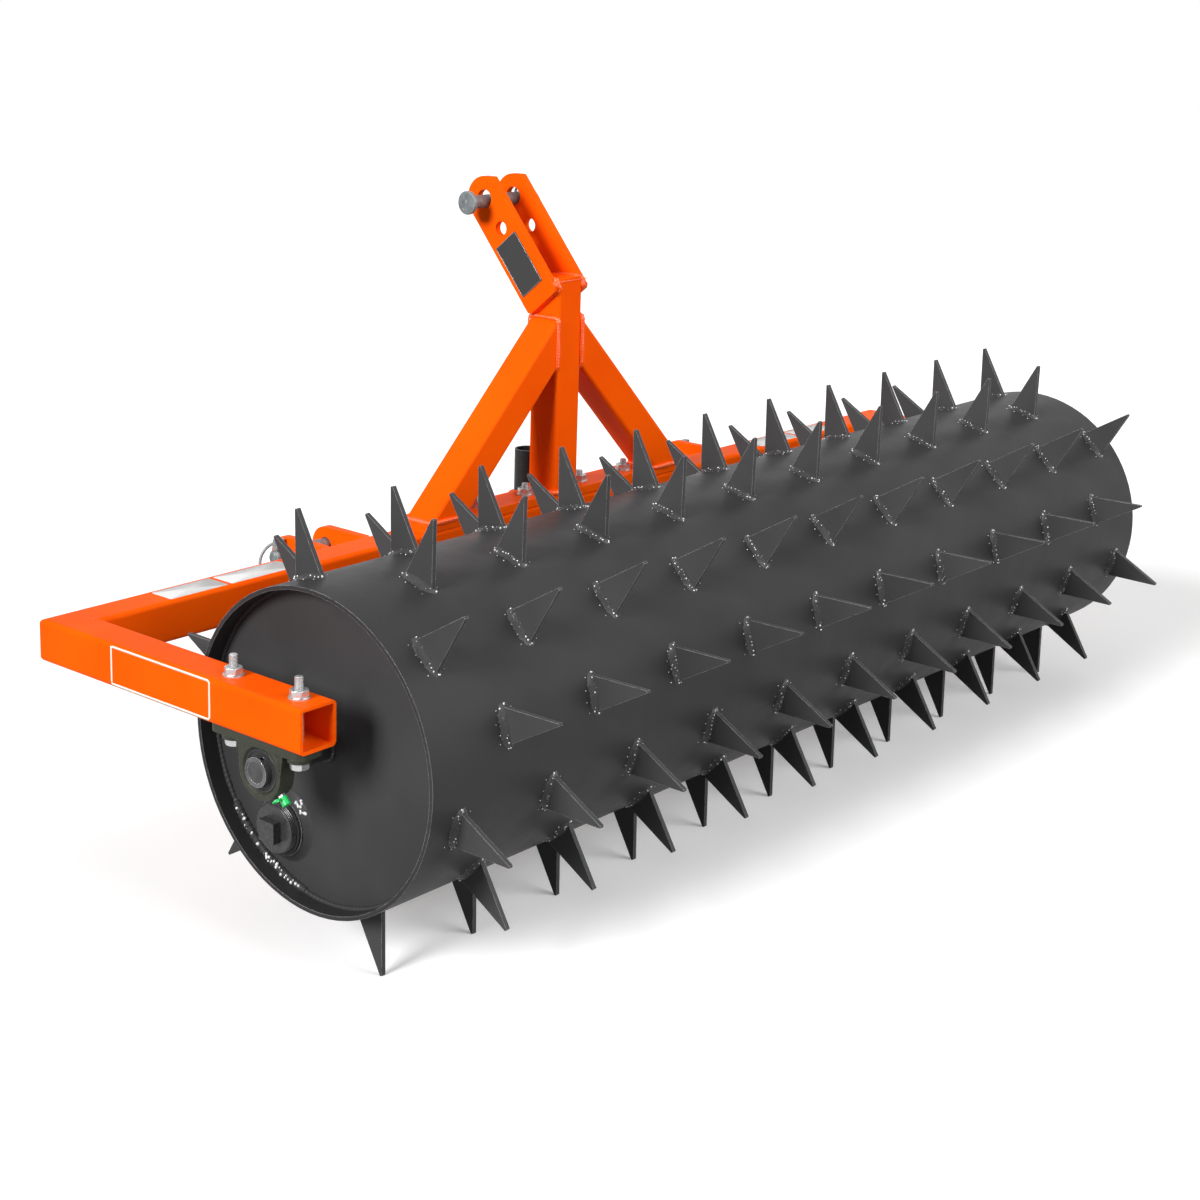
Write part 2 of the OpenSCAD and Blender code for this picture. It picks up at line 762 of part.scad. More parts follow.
// Lynch peg through a pin, with the pin's centre at the origin
module lynch_peg(pin_d) {
    top = pin_d / 2 + seat_gap;
    color(zinc) difference() {
        union() {
            translate([0, 0, -pin_d / 2 - peg_tail]) cylinder(d = peg_d, h = pin_d + peg_tail + 2, $fn = 48);
            intersection() {
                translate([0, 0, top]) cylinder(r = peg_head_r, h = peg_head_h, $fn = 48);
                translate([-peg_head_r, -peg_head_w / 2, top]) cube([2 * peg_head_r, peg_head_w, peg_head_h]);
            }
        }
        translate([0, 0, pin_d / 2 + peg_pivot]) rotate([90, 0, 0])
            cylinder(r = ring_hole_r(), h = 2 * peg_head_r, center = true, $fn = 48);
    }
}

// The hole clears the ring's wire over the width of the head, at any angle of the ring
function ring_hole_r() =
    ring_wire / 2 + 2 * run_gap + ring_r - sqrt(pow(ring_r, 2) - pow(peg_head_w / 2, 2));

module lynch_ring(pin_d) {
    color(zinc) translate([0, 0, pin_d / 2 + peg_pivot]) rotate([0, 90 - ring_open, 0]) translate([ring_r, 0, 0])
        rotate_extrude() translate([ring_r, 0]) circle(d = ring_wire, $fn = 32);
}

module at_top_lynch() from_axle() translate([top_lynch_x, upper_hole_y, top_pin_z]) children();
module at_low_lynch(left) from_axle() flip(left) translate([low_lynch_x, lug_hole_y, low_pin_z]) children();

// Parking stand

module stand_sleeve() {
    height = arm_high - sleeve_drop - sleeve_low;
    color(frame_orange) from_axle() difference() {
        translate([0, stand_y, sleeve_low]) ring_solid(sleeve_r, leg_d / 2 + leg_clear, height);
        translate([-sleeve_r, bar_front - 2 * sleeve_r, sleeve_low - through])
            cube([2 * sleeve_r, 2 * sleeve_r, height + 2 * through]);
        translate([0, stand_y, clamp_z]) rotate([-90, 0, 0])
            cylinder(d = clamp_d + 2 * hole_slack, h = 2 * sleeve_r, $fn = 48);
    }
}

module stand_clamp_nut() {
    color(frame_orange) from_axle() translate([0, stand_y, clamp_z]) rotate([-90, 0, 0]) difference() {
        translate([0, 0, leg_d / 2 + leg_clear + sleeve_wall / 2])
            cylinder(d = clamp_nut_af / cos(30), h = sleeve_wall / 2 + clamp_nut_t, $fn = 6);
        cylinder(d = clamp_d + 2 * run_gap, h = 3 * sleeve_r, $fn = 48);
        rotate([90, 0, 0]) translate([0, 0, -clamp_d * 2]) cylinder(r = sleeve_r + run_gap, h = clamp_d * 4);
    }
}

module stand_clamp_screw() {
    color(zinc) from_axle() translate([0, 0, clamp_z]) {
        difference() {
            union() {
                translate([0, clamp_start, 0]) rotate([-90, 0, 0])
                    cylinder(d = clamp_d, h = clamp_head_y - clamp_start, $fn = 48);
                translate([0, clamp_head_y, 0]) rotate([-90, 0, 0])
                    cylinder(d = clamp_d * 1.5, h = clamp_head_t, $fn = 48);
            }
            translate([0, clamp_head_y + clamp_head_t / 2, 0]) along_x(-clamp_d)
                cylinder(d = clamp_d * 0.65, h = 2 * clamp_d, $fn = 32);
        }
        translate([0, clamp_head_y + clamp_head_t / 2, 0]) along_x(-clamp_bar / 2)
            cylinder(d = clamp_d * 0.65, h = clamp_bar, $fn = 32);
    }
}

module stand_leg() {
    color(near_black) from_axle() translate([0, stand_y, -axle_h + shoe_t])
        ring_solid(leg_d / 2, leg_d / 2 - leg_wall, axle_h - shoe_t + arm_high + leg_top);
}

module stand_foot() {
    color(near_black) from_axle() translate([0, stand_y, -axle_h])
        linear_extrude(shoe_t) round_square(shoe, 8);
}

// Fasteners, drawn along +Z

module hex_prism(across_flats, height) cylinder(d = across_flats / cos(30), h = height, $fn = 6);

// Limits a hexagon to a chamfered corner at one or both ends
module hex_crown(across_flats, height, both) {
    corner = across_flats / cos(30) / 2;
    drop = (corner - across_flats / 2) * tan(30);
    low_r = both ? across_flats / 2 : corner;
    low_z = both ? drop : 0;
    intersection() {
        hex_prism(across_flats, height);
        rotate_extrude() polygon([
            [0, 0], [low_r, 0], [corner, low_z], [corner, height - drop], [across_flats / 2, height], [0, height]
        ]);
    }
}

// Bolt with the underside of its head at z = 0 and its end at z = len
module hex_bolt(len) {
    edge = 1;
    translate([0, 0, -bolt_head_t]) mirror([0, 0, 1]) translate([0, 0, -bolt_head_t])
        hex_crown(bolt_af, bolt_head_t, false);
    rotate_extrude() polygon([
        [0, 0], [bolt_d / 2, 0], [bolt_d / 2, len - edge], [bolt_d / 2 - edge, len], [0, len]
    ]);
}

module bearing_bolts() {
    start = arm_low - foot_pad_t;
    color(zinc) from_axle() for (left = [true, false]) flip(left) bearing_bolt_places()
        translate([0, 0, start]) hex_bolt(bearing_nut_z + nut_t + bolt_proud - start);
}

module hitch_bolts() {
    color(zinc) from_axle() mast_bolt_places()
        translate([0, 0, arm_low]) hex_bolt(mast_nut_z + nut_t + bolt_proud / 2 - arm_low);
}

// Every bolt end: on both arms, and on the mast's base plate
module every_bolt_end() {
    from_axle() {
        for (left = [true, false]) flip(left) bearing_bolt_places() translate([0, 0, arm_high]) children();
        mast_bolt_places() translate([0, 0, base_high]) children();
    }
}

module flat_washers() {
    color(zinc) every_bolt_end() ring_solid(washer_d / 2, bolt_d / 2 + run_gap, washer_t);
}

module hex_nuts() {
    color(zinc) every_bolt_end() translate([0, 0, washer_t]) difference() {
        hex_crown(bolt_af, nut_t, true);
        translate([0, 0, -through]) cylinder(d = bolt_d + 2 * run_gap, h = nut_t + 2 * through);
    }
}

drum_shell();
end_plate(true);  // end_plate_left
end_plate(false);  // end_plate_right
shaft();
spike_pair(0);  // spike_rows_01_02
spike_pair(2);  // spike_rows_03_04
spike_pair(4);  // spike_rows_05_06
spike_pair(6);  // spike_rows_07_08
spike_pair(8);  // spike_rows_09_10
spike_pair(10);  // spike_rows_11_12
fill_bung();
seal_washer();
fill_plug();
bearing_inner(true);  // bearing_inner_left
bearing_inner(false);  // bearing_inner_right
bearing_outer(true);  // bearing_outer_left
bearing_outer(false);  // bearing_outer_right
bearing_balls(true);  // bearing_balls_left
bearing_balls(false);  // bearing_balls_right
bearing_seals();
set_screws();
housing(true);  // housing_left
housing(false);  // housing_right
grease_nipples();
grease_cap(true);  // grease_cap_left
grease_cap(false);  // grease_cap_right
bearing_bolts();
hitch_bolts();
flat_washers();
hex_nuts();
front_bar();
side_arm(true);  // side_arm_left
side_arm(false);  // side_arm_right
lug(true, true);  // lug_left_outer
lug(true, false);  // lug_left_inner
lug(false, false);  // lug_right_inner
lug(false, true);  // lug_right_outer
base_plate();
mast_post();
post_cap();
brace(true);  // brace_left
brace(false);  // brace_right
clevis_plate(true);  // clevis_plate_left
clevis_plate(false);  // clevis_plate_right
data_plate();
top_link_pin();
lower_pin(true);  // lower_pin_left
lower_pin(false);  // lower_pin_right
at_top_lynch() lynch_peg(top_pin_d);  // top_lynch_peg
at_top_lynch() lynch_ring(top_pin_d);  // top_lynch_ring
at_low_lynch(true) lynch_peg(low_pin_d);  // left_lynch_peg
at_low_lynch(true) lynch_ring(low_pin_d);  // left_lynch_ring
at_low_lynch(false) lynch_peg(low_pin_d);  // right_lynch_peg
at_low_lynch(false) lynch_ring(low_pin_d);  // right_lynch_ring
stand_sleeve();
stand_clamp_nut();
stand_clamp_screw();
stand_leg();
stand_foot();
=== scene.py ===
import json
import math

import bmesh
import bpy
import numpy as np
from mathutils import Matrix, Vector


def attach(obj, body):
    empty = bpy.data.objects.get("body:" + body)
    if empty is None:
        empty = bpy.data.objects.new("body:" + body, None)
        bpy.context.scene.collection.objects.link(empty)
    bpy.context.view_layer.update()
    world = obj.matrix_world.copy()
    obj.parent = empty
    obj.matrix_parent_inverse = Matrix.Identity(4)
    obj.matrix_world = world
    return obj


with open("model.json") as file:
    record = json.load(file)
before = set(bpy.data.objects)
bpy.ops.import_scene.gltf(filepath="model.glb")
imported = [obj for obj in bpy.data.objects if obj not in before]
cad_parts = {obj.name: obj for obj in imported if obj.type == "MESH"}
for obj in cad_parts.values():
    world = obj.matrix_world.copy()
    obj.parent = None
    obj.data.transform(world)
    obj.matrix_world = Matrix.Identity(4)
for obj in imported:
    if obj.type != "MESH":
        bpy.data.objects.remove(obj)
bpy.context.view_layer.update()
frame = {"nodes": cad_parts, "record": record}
nodes = frame["nodes"]
print("packed model loaded with", len(nodes), "nodes")

# the photograph's viewpoint, in metres, degrees and millimetres of lens
viewpoint = {
    "place": (-2.3428, -1.786339, 1.12782),
    "yaw": 49.093,  # degrees from +Y towards +X
    "pitch": -13.312,
    "roll": 1.357,
    "lens": 65.253,
    "sensor": 36,
    "shift": (0.0459, -0.1113),
    "clip": (0.05, 100),
}


def addCamera(setting):
    yaw, pitch, roll = (math.radians(setting[key]) for key in ("yaw", "pitch", "roll"))
    ahead = Vector((math.sin(yaw) * math.cos(pitch), math.cos(yaw) * math.cos(pitch), math.sin(pitch)))
    level = Vector((math.cos(yaw), -math.sin(yaw), 0))
    upward = level.cross(ahead)
    right = level * math.cos(roll) + upward * math.sin(roll)
    top = upward * math.cos(roll) - level * math.sin(roll)
    lens = bpy.data.cameras.new("photoCamera")
    lens.sensor_width, lens.lens = setting["sensor"], setting["lens"]
    lens.shift_x, lens.shift_y = setting["shift"]
    lens.clip_start, lens.clip_end = setting["clip"]
    camera = bpy.data.objects.new("photoCamera", lens)
    turned = Matrix((right, top, -ahead)).transposed().to_4x4()
    camera.matrix_world = Matrix.Translation(setting["place"]) @ turned
    bpy.context.scene.collection.objects.link(camera)
    bpy.context.scene.camera = camera


addCamera(viewpoint)
print("camera placed")


class Wire:  # an output of a node: sums on it add Math nodes
    def __init__(self, tree, socket):
        self.tree, self.socket = tree, socket

    def sum(self, kind, *values):
        return self.tree.node("ShaderNodeMath", {"operation": kind}, dict(enumerate(values)))

    def __add__(self, other):
        return self.sum("ADD", self, other)

    def __sub__(self, other):
        return self.sum("SUBTRACT", self, other)

    def __rsub__(self, other):
        return self.sum("SUBTRACT", other, self)

    def __mul__(self, other):
        return self.sum("MULTIPLY", self, other)

    __radd__, __rmul__ = __add__, __mul__


class Tree:
    def __init__(self, owner):
        owner.use_nodes = True
        self.owner, self.nodes, self.links = owner, owner.node_tree.nodes, owner.node_tree.links
        self.nodes.clear()

    def node(self, kind, settings=None, values=None, out=0):
        made = self.nodes.new(kind)
        for key, value in (settings or {}).items():
            setattr(made, key, value)
        for key, value in (values or {}).items():
            if isinstance(value, Wire):
                self.links.new(value.socket, made.inputs[key])
            else:
                made.inputs[key].default_value = value
        return Wire(self, made.outputs[out]) if made.outputs else None

    def place(self, stretch=None, turn=(0, 0, 0)):  # the object's own coordinates, in metres
        spot = self.node("ShaderNodeTexCoord", out="Object")
        if stretch is None:
            return spot
        return self.node("ShaderNodeMapping", {}, {"Vector": spot, "Rotation": turn, "Scale": stretch})

    def noise(self, scale, detail=3, rough=0.55, where=None):
        return self.node("ShaderNodeTexNoise", {}, {
            "Vector": where or self.place(), "Scale": scale, "Detail": detail, "Roughness": rough}, "Fac")

    def band(self, value, low, high, start=0, end=1):  # start below low, end above high
        return self.node("ShaderNodeMapRange", {"interpolation_type": "SMOOTHSTEP"}, {
            "Value": value, "From Min": low, "From Max": high, "To Min": start, "To Max": end})

    def mix(self, share, first, second):
        return self.node("ShaderNodeMix", {"data_type": "RGBA"}, {0: share, 6: first, 7: second}, 2)

    def axes(self):
        spread = self.node("ShaderNodeSeparateXYZ", {}, {"Vector": self.place()})
        return [Wire(self, spread.socket.node.outputs[i]) for i in range(3)]

    def rounded(self, radius):  # the surface's direction with its sharp edges rounded
        return self.node("ShaderNodeBevel", {"samples": 4}, {"Radius": radius})

    def edges(self, radius):  # 1 along sharp edges, 0 on flat ground
        flat = self.node("ShaderNodeNewGeometry", out="Normal")
        same = self.node("ShaderNodeVectorMath", {"operation": "DOT_PRODUCT"}, {
            0: self.rounded(radius), 1: flat}, "Value")
        return self.band(same, 0.99, 0.85)

    def bump(self, height, depth, strength=1, normal=None):
        values = {"Height": height, "Distance": depth, "Strength": strength}
        if normal is not None:
            values["Normal"] = normal
        return self.node("ShaderNodeBump", {}, values)

    def surface(self, **values):
        named = {key.replace("_", " "): value for key, value in values.items()}
        skin = self.node("ShaderNodeBsdfPrincipled", {}, named)
        self.node("ShaderNodeOutputMaterial", {}, {"Surface": skin})
        return self.owner


def tone(*colour):  # a colour as a screen shows it, made linear
    linear = [v / 255 / 12.92 if v <= 10 else ((v / 255 + 0.055) / 1.055) ** 2.4 for v in colour]
    return tuple(linear) + (1,)


def newTree(name):
    return Tree(bpy.data.materials.new(name))


# finishes: colours are as a screen shows them, and sizes of edges and bumps are in metres
orangeLook = {
    "paint": (255, 93, 6),
    "deep": (252, 86, 5),
    # lighter peach for the edges: partly rubbed paint, partly a painted highlight
    "wornAndHighlight": (255, 150, 70),
    "roughness": 0.34,
    "gloss": 0.014,
    "edge": 0.0014,
    "chipAndHighlight": (0.42, 0.62),
    "wearAndHighlight": 0.55,
    "round": 0.0009,
    "bump": 0.00012,
}


def makeOrange(look, name="orangeEnamel", lumps=0):
    tree = newTree(name)
    cloud = tree.noise(7, 3)
    # lighter peach along the edges: partly paint rubbed thin, partly a painted highlight on the rounded tube
    # corners
    chipAndHighlight = tree.band(tree.noise(130, 4, 0.7) * tree.edges(look["edge"]), *look["chipAndHighlight"])
    colour = tree.mix(tree.band(cloud, 0.35, 0.7), tone(*look["paint"]), tone(*look["deep"]))
    colour = tree.mix(chipAndHighlight * look["wearAndHighlight"], colour, tone(*look["wornAndHighlight"]))
    peel = tree.noise(420, 2, 0.4)
    height = peel + tree.noise(90, 3) * 0.8
    if lumps:
        height = height + tree.noise(260, 4, 0.7) * lumps
    return tree.surface(
        Base_Color=colour,
        Roughness=tree.noise(35, 4) * 0.16 + (look["roughness"] - 0.08),
        Specular_IOR_Level=look["gloss"],
        Normal=tree.bump(height, look["bump"], 1, tree.rounded(look["round"])),
    )


darkLook = {
    "paint": (61, 61, 62),
    "deep": (53, 53, 54),
    # light grey for the edges: partly scuffed paint, partly a painted highlight
    "wornAndHighlight": (172, 172, 173),
    "dust": (120, 120, 120),
    "roughness": 0.44,
    "gloss": 0.11,
    "edge": 0.0012,
    "scuffAndHighlight": (0.26, 0.54),
    "wearAndHighlight": 0.8,
    "speck": (0.74, 0.8),
    "dusty": 0.35,
    "round": 0.0008,
    "bump": 0.00012,
}


def makeDark(look, name="darkGreyEnamel"):
    tree = newTree(name)
    # a light grey line along the edges of spikes and rims: partly scuffed paint, partly a painted highlight
    scuffAndHighlight = tree.band(tree.noise(90, 4, 0.7) * tree.edges(look["edge"]), *look["scuffAndHighlight"])
    speck = tree.band(tree.noise(520, 2, 0.6), *look["speck"])
    colour = tree.mix(tree.band(tree.noise(5, 3), 0.35, 0.7), tone(*look["paint"]), tone(*look["deep"]))
    colour = tree.mix(scuffAndHighlight * look["wearAndHighlight"], colour, tone(*look["wornAndHighlight"]))
    colour = tree.mix(speck * look["dusty"], colour, tone(*look["dust"]))
    height = tree.noise(330, 2, 0.4) + tree.noise(60, 3) * 0.9
    return tree.surface(
        Base_Color=colour,
        Roughness=tree.noise(28, 4) * 0.18 + (look["roughness"] - 0.09),
        Specular_IOR_Level=look["gloss"],
        Normal=tree.bump(height, look["bump"], 1, tree.rounded(look["round"])),
    )


weldLook = {
    "paint": (58, 58, 59),
    # near white for the dots: painted glints
    "paintedGlint": (235, 235, 235),
    "cells": 420,
    "glintDot": (0.26, 0.16),
    "patch": (0.56, 0.64),
    "metal": 0.4,
    "roughness": 0.34,
    "polish": 0.16,
    "gloss": 0.3,
    "bump": 0.0005,
}


def makeDarkWeld(look):
    tree = newTree("darkGreyWeld")
    cells = tree.node("ShaderNodeTexVoronoi", {}, {
        "Vector": tree.place(), "Scale": look["cells"], "Randomness": 1}, "Distance")
    # near-white dots on the weld, with some shine: painted glints
    glintDots = tree.band(cells, *look["glintDot"]) * tree.band(tree.noise(70, 2), *look["patch"])
    grain = tree.noise(600, 4, 0.75)
    return tree.surface(
        Base_Color=tree.mix(glintDots, tone(*look["paint"]), tone(*look["paintedGlint"])),
        Metallic=glintDots * look["metal"],
        Roughness=look["roughness"] - glintDots * look["polish"],
        Specular_IOR_Level=look["gloss"],
        Normal=tree.bump(grain + tree.noise(220, 2), look["bump"]),
    )


# near-white drops of spatter: white as painted glints on the welds
glintSpatterLook = {"light": (255, 255, 255), "dark": (196, 196, 198), "metal": 0.15}


def makeGlintSpatter(look):
    tree = newTree("paintedGlintSpatter")
    return tree.surface(
        Base_Color=tree.mix(tree.noise(300, 2), tone(*look["light"]), tone(*look["dark"])),
        Metallic=look["metal"],
        Roughness=tree.noise(900, 2) * 0.3 + 0.1,
    )


steelLook = {
    "scratched": (215, 215, 215),
    "line": (0.6, 0.68),
    # near white for the rims: a painted highlight
    "rimHighlightTone": (240, 240, 241),
    "rimHighlightWide": 0.0007,
    "round": 0.0006,
    "bump": 0.0001,
}


def makeSteel(name, light, dark, roughness, along, scratch=0, metal=1.0, rim=0, look=steelLook):
    # turned or drawn steel: fine marks, drawn out along the axes whose stretch in along is small
    tree = newTree(name)
    marks = tree.noise(1, 3, 0.6, tree.place(along))
    colour = tree.mix(tree.band(marks, 0.3, 0.7), tone(*light), tone(*dark))
    height = marks
    rough = tree.noise(60, 4) * 0.2 + (roughness - 0.1)
    if scratch:
        slanted = tree.place((900, 60, 60), (0.5, 0.4, 0.9))
        lines = tree.band(tree.noise(1, 2, 0.7, slanted), *look["line"])
        colour = tree.mix(lines * scratch, colour, tone(*look["scratched"]))
        height = height - lines * 0.6
        rough = rough + lines * 0.1
    # rim lightens the edges towards near white: a painted highlight round the rims
    if rim:
        colour = tree.mix(tree.edges(look["rimHighlightWide"]) * rim, colour, tone(*look["rimHighlightTone"]))
    return tree.surface(
        Base_Color=colour,
        Metallic=metal,
        Roughness=rough,
        Normal=tree.bump(height, look["bump"], 1, tree.rounded(look["round"])),
    )


zincLook = {
    "light": (222, 223, 224),
    "dark": (176, 177, 178),
    "metal": 0.8,
    "roughness": (0.24, 0.4),
    "threadRise": 4,
    "round": 0.0005,
    "bump": 0.00012,
}


def makeZinc(name, thread=None, look=zincLook):
    tree = newTree(name)
    bloom = tree.noise(150, 4, 0.6)
    height = tree.noise(700, 3)
    if thread:  # a sine along the bolt, once for each turn, above the nut's underside
        rise = tree.axes()[thread["axis"]]
        turns = rise.sum("SINE", rise * (2 * math.pi / thread["pitch"]))
        height = turns * tree.band(rise, *thread["from"]) * look["threadRise"] + height
    return tree.surface(
        Base_Color=tree.mix(bloom, tone(*look["light"]), tone(*look["dark"])),
        Metallic=look["metal"],
        Roughness=tree.band(bloom, 0.3, 0.7, *look["roughness"]),
        Normal=tree.bump(height, look["bump"], 1, tree.rounded(look["round"])),
    )


castLook = {
    "light": (56, 58, 47),
    "dark": (43, 45, 36),
    # paler tone for the edges: partly worn casting, partly a painted highlight
    "wornAndHighlight": (138, 140, 124),
    "edge": 0.0016,
    "wearAndHighlight": 0.4,
    "gloss": 0.25,
    "round": 0.0012,
    "bump": 0.0006,
}


def makeCast(look):
    tree = newTree("oliveCasting")
    sand = tree.noise(520, 4, 0.7)
    colour = tree.mix(tree.band(sand, 0.35, 0.7), tone(*look["light"]), tone(*look["dark"]))
    # paler along the edges: partly worn casting, partly a painted highlight
    wornAndHighlight = tree.band(tree.noise(140, 3) * tree.edges(look["edge"]), 0.35, 0.6)
    colour = tree.mix(wornAndHighlight * look["wearAndHighlight"], colour, tone(*look["wornAndHighlight"]))
    return tree.surface(
        Base_Color=colour,
        Roughness=sand * 0.25 + 0.35,
        Specular_IOR_Level=look["gloss"],
        Normal=tree.bump(sand + tree.noise(120, 3) * 1.5, look["bump"], 1, tree.rounded(look["round"])),
    )


def makePlain(name, light, dark, roughness, scale, depth, metal=0.0, gloss=0.5):
    tree = newTree(name)
    grain = tree.noise(scale, 4, 0.6)
    return tree.surface(
        Base_Color=tree.mix(tree.band(grain, 0.3, 0.7), tone(*light), tone(*dark)),
        Metallic=metal,
        Roughness=tree.noise(scale / 4, 3) * 0.16 + (roughness - 0.08),
        Specular_IOR_Level=gloss,
        Normal=tree.bump(grain, depth, 1, tree.rounded(0.0005)),
    )


brushedLook = {
    "light": (64, 64, 65),
    "dark": (48, 48, 49),
    "metal": 0.25,
    "gloss": 0.25,
    "round": 0.0003,
    "bump": 0.00006,
}


def makeBrushed(look):
    tree = newTree("brushedPlate")
    hair = tree.noise(1, 3, 0.7, tree.place((40, 1700, 90), (0.7, 0, 0)))
    return tree.surface(
        Base_Color=tree.mix(hair, tone(*look["light"]), tone(*look["dark"])),
        Metallic=look["metal"],
        Specular_IOR_Level=look["gloss"],
        Roughness=hair * 0.2 + 0.36,
        Normal=tree.bump(hair, look["bump"], 1, tree.rounded(look["round"])),
    )


finishes = {
    "frame_paint": makeOrange(orangeLook),
    "drum_paint": makeDark(darkLook),
    "bright_steel": makeSteel("turnedSteel", (196, 196, 198), (150, 150, 152), 0.3, (2600, 60, 60)),
    "ball_steel": makeSteel("ballSteel", (220, 220, 224), (190, 190, 194), 0.2, (300, 300, 300)),
    "black_rubber": makePlain("blackRubber", (34, 34, 35), (22, 22, 23), 0.62, 500, 0.00012),
    "black_steel": makePlain("blackEnamel", (36, 36, 37), (28, 28, 29), 0.36, 240, 0.00012, 0.0, 0.2),
    "cast_housing": makeCast(castLook),
    "zinc_plate": makeZinc("zincPlate"),
    # pin steel: its grey leans a little to cyan, to offset orange light that the frame bounces onto it, and
    # its rims get a painted highlight
    "pin_steel": makeSteel("wornPinSteel", (124, 130, 132), (92, 97, 99), 0.42, (500, 70, 70), 0.5, 0.2, 0.8),
    "green_cap": makePlain("greenPlastic", (38, 204, 104), (28, 186, 92), 0.32, 160, 0.0001),
    "grey_plate": makeBrushed(brushedLook),
}
boltThread = {"axis": 2, "pitch": 0.0015, "from": (0.33, 0.335)}
screwThread = {"axis": 1, "pitch": 0.00175, "from": (0.29, 0.295)}
ownFinish = {
    "bearing_bolts": makeZinc("zincBolt", boltThread),
    "hitch_bolts": makeZinc("zincHitchBolt", boltThread),
    "stand_clamp_screw": makeZinc("zincScrew", screwThread),
    # shaft and collar: the last number paints a highlight round their rims
    "shaft": makeSteel("shaftSteel", (74, 74, 75), (58, 58, 59), 0.42, (2600, 60, 60), 0, 0.3, 0.7),
    "bearing_outer_left": makeSteel(
        "outerRingSteel", (70, 70, 71), (46, 46, 47), 0.26, (1800, 40, 40), 0, 0.5),
    "bearing_inner_left": makeSteel(
        "collarSteel", (112, 112, 114), (72, 72, 74), 0.22, (1800, 40, 40), 0, 0.35, 0.7),
    "fill_plug": makePlain("blackPipePlug", (74, 74, 75), (56, 56, 57), 0.26, 300, 0.00012, 0.4),
}
ownFinish["bearing_inner_right"] = ownFinish["bearing_inner_left"]
ownFinish["bearing_outer_right"] = ownFinish["bearing_outer_left"]
# spikes and shell share one enamel: the spikes get a lighter copy and the shell a darker one, as painted
# light and painted shade
lighterSpikeFinish = makeDark(dict(darkLook, paint=(67, 67, 68), deep=(59, 59, 60)), "spikeEnamelPaintedLight")
for first in range(1, 12, 2):
    ownFinish[f"spike_rows_{first:02d}_{first + 1:02d}"] = lighterSpikeFinish
ownFinish["drum_shell"] = makeDark(dict(darkLook, paint=(54, 54, 55), deep=(47, 47, 48)), "drumEnamelPaintedShade")
# the dull zinc's last number paints a highlight round its rims
dullZinc = makeSteel("dullZinc", (150, 151, 152), (118, 119, 120), 0.4, (300, 300, 300), 0, 0.25, 0.5)
for link in ("top", "left", "right"):
    ownFinish[link + "_lynch_peg"] = ownFinish[link + "_lynch_ring"] = dullZinc
orangeWeld = makeOrange(dict(orangeLook, roughness=0.2, gloss=0.6), "orangeWeld", 7)
darkWeld = makeDarkWeld(weldLook)
glintSpatter = makeGlintSpatter(glintSpatterLook)
blankVinyl = makePlain("blankVinyl", (216, 216, 215), (208, 208, 207), 0.4, 420, 0.00003)
creamVinyl = makePlain("creamVinyl", (255, 247, 232), (248, 238, 222), 0.34, 60, 0.00004)
brightBorder = makePlain("brightBorder", (176, 176, 178), (150, 150, 152), 0.3, 200, 0.00004, 0.7)

for part in frame["record"]["subparts"]:
    finish = ownFinish.get(part["node"], finishes[part["material_slot"]])
    for place in nodes[part["node"]].material_slots:
        place.material = finish
print("finishes given to every packed node")


axle = np.array([0, -0.112839, 0.25942])  # the drum's centre: the shapes below are in millimetres from it
weldSize = {"merge": 2e-6, "thinnest": 1e-7}  # in metres


def gridFaces(rows, columns, closeRows, closeColumns):
    # four-sided faces between neighbouring rows and columns of points
    index = np.arange(rows * columns).reshape(rows, columns)
    if closeRows:
        index = np.concatenate([index, index[:1]])
    if closeColumns:
        index = np.concatenate([index, index[:, :1]], 1)
    corners = (index[:-1, :-1], index[:-1, 1:], index[1:, 1:], index[1:, :-1])
    return np.stack(corners, -1).reshape(-1, 4)


def makePiece(name, sheets, finish, body):
    # sheets hold points, copies x rows x columns x 3, and whether rows and columns close on themselves
    points, faces, count = [], [], 0
    for sheet, closeRows, closeColumns in sheets:
        sheet = sheet.reshape((-1,) + sheet.shape[-3:])
        copies, rows, columns = sheet.shape[:3]
        one = gridFaces(rows, columns, closeRows, closeColumns)
        starts = np.arange(copies)[:, None, None] * rows * columns + count
        faces.append((one[None] + starts).reshape(-1, 4))
        points.append(sheet.reshape(-1, 3))
        count += copies * rows * columns
    mesh = bpy.data.meshes.new(name)
    mesh.from_pydata((np.concatenate(points) / 1000 + axle).tolist(), [], np.concatenate(faces).tolist())
    work = bmesh.new()
    work.from_mesh(mesh)
    bmesh.ops.remove_doubles(work, verts=work.verts, dist=weldSize["merge"])
    bmesh.ops.dissolve_degenerate(work, edges=work.edges, dist=weldSize["thinnest"])
    bmesh.ops.recalc_face_normals(work, faces=work.faces)
    work.to_mesh(mesh)
    work.free()
    mesh.shade_smooth()
    mesh.materials.append(finish)
    piece = bpy.data.objects.new(name, mesh)
    bpy.context.scene.collection.objects.link(piece)
    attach(piece, body)


def evenly(points, step, closed):
    # the same line with its points a step apart
    line = np.concatenate([points, points[:1]]) if closed else points
    run = np.concatenate([[0], np.cumsum(np.linalg.norm(np.diff(line, axis=0), axis=1))])
    count = max(int(round(run[-1] / step)), 3)
    at = np.linspace(0, run[-1], count, endpoint=not closed)
    return np.stack([np.interp(at, run, line[:, i]) for i in range(3)], 1), at


